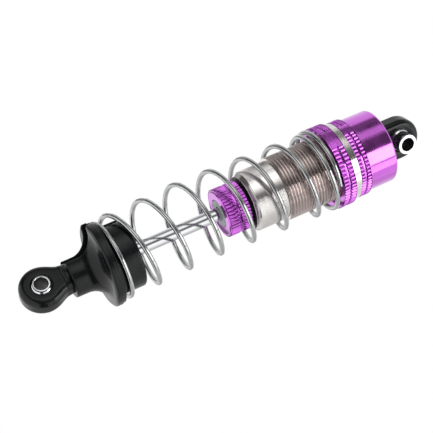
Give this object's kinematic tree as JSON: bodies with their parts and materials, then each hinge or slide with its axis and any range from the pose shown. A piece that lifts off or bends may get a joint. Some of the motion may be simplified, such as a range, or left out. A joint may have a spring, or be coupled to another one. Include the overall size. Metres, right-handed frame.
{
  "type": "coilover",
  "caption": "Small oil-filled coil-over damper with a threaded barrel, a knurled spring collar, a slotted lower cup and a ball eye at each end.",
  "frame": {"origin": "centre of the upper pivot ball, on its bolt axis", "axes": "+Z along the damper's axis, from the lower eye to the upper eye; +Y along the upper bolt, towards the long side of the ball's neck"},
  "size_m": [0.0192, 0.0192, 0.0966],
  "materials": {
    "polished_steel": "polished",
    "spring_steel": "bright drawn wire",
    "polished_aluminium": "polished, turned",
    "purple_anodised": "polished, purple anodised",
    "black_plastic": "satin moulded",
    "grey_plastic": "matt",
    "white_plastic": "matt",
    "grey_rubber": "matt",
    "red_rubber": "matt"
  },
  "bodies": {
    "upper_pivot": {"upper_pivot_ball": "polished_steel"},
    "barrel": {"upper_eyelet": "black_plastic", "top_cap": "purple_anodised", "bladder": "grey_rubber", "barrel": "polished_aluminium", "seal_cap": "purple_anodised", "rod_guide": "grey_plastic", "seal_washer": "white_plastic", "upper_seal_ring": "red_rubber", "seal_spacer": "white_plastic", "lower_seal_ring": "red_rubber"},
    "spring": {"spring": "spring_steel"},
    "collar": {"adjuster_collar": "purple_anodised", "collar_ring": "grey_rubber"},
    "lower_cup": {"lower_cup": "black_plastic"},
    "rod": {"shock_rod": "polished_steel", "piston": "white_plastic", "upper_clip": "spring_steel", "lower_clip": "spring_steel", "rod_end": "black_plastic"},
    "lower_pivot": {"lower_pivot_ball": "polished_steel"}
  },
  "joints": [
    {"name": "upper_swing", "type": "hinge", "parent": "upper_pivot", "child": "barrel", "pos_m": [0, 0, 0], "axis": [0, 1, 0], "continuous": true},
    {"name": "preload_slide", "type": "slide", "parent": "barrel", "child": "spring", "axis": [0, 0, -1], "range_m": [0, 0.006]},
    {"name": "collar_turn", "type": "hinge", "parent": "spring", "child": "collar", "pos_m": [0, 0, -0.0178], "axis": [0, 0, -1], "range_deg": [0, 2880]},
    {"name": "shock_travel", "type": "slide", "parent": "spring", "child": "lower_cup", "axis": [0, 0, 1], "range_m": [0, 0.019], "stiffness_N_per_m": 500, "deforming": ["spring"]},
    {"name": "rod_spin", "type": "hinge", "parent": "lower_cup", "child": "rod", "pos_m": [0, 0, -0.06], "axis": [0, 0, 1], "continuous": true},
    {"name": "lower_swing", "type": "hinge", "parent": "rod", "child": "lower_pivot", "pos_m": [0, 0, -0.0874], "axis": [0.866, 0.5, 0], "continuous": true}
  ],
  "couplings": [
    {"joint": "collar_turn", "follows": "preload_slide", "rad_per_m": 8377.6}
  ]
}
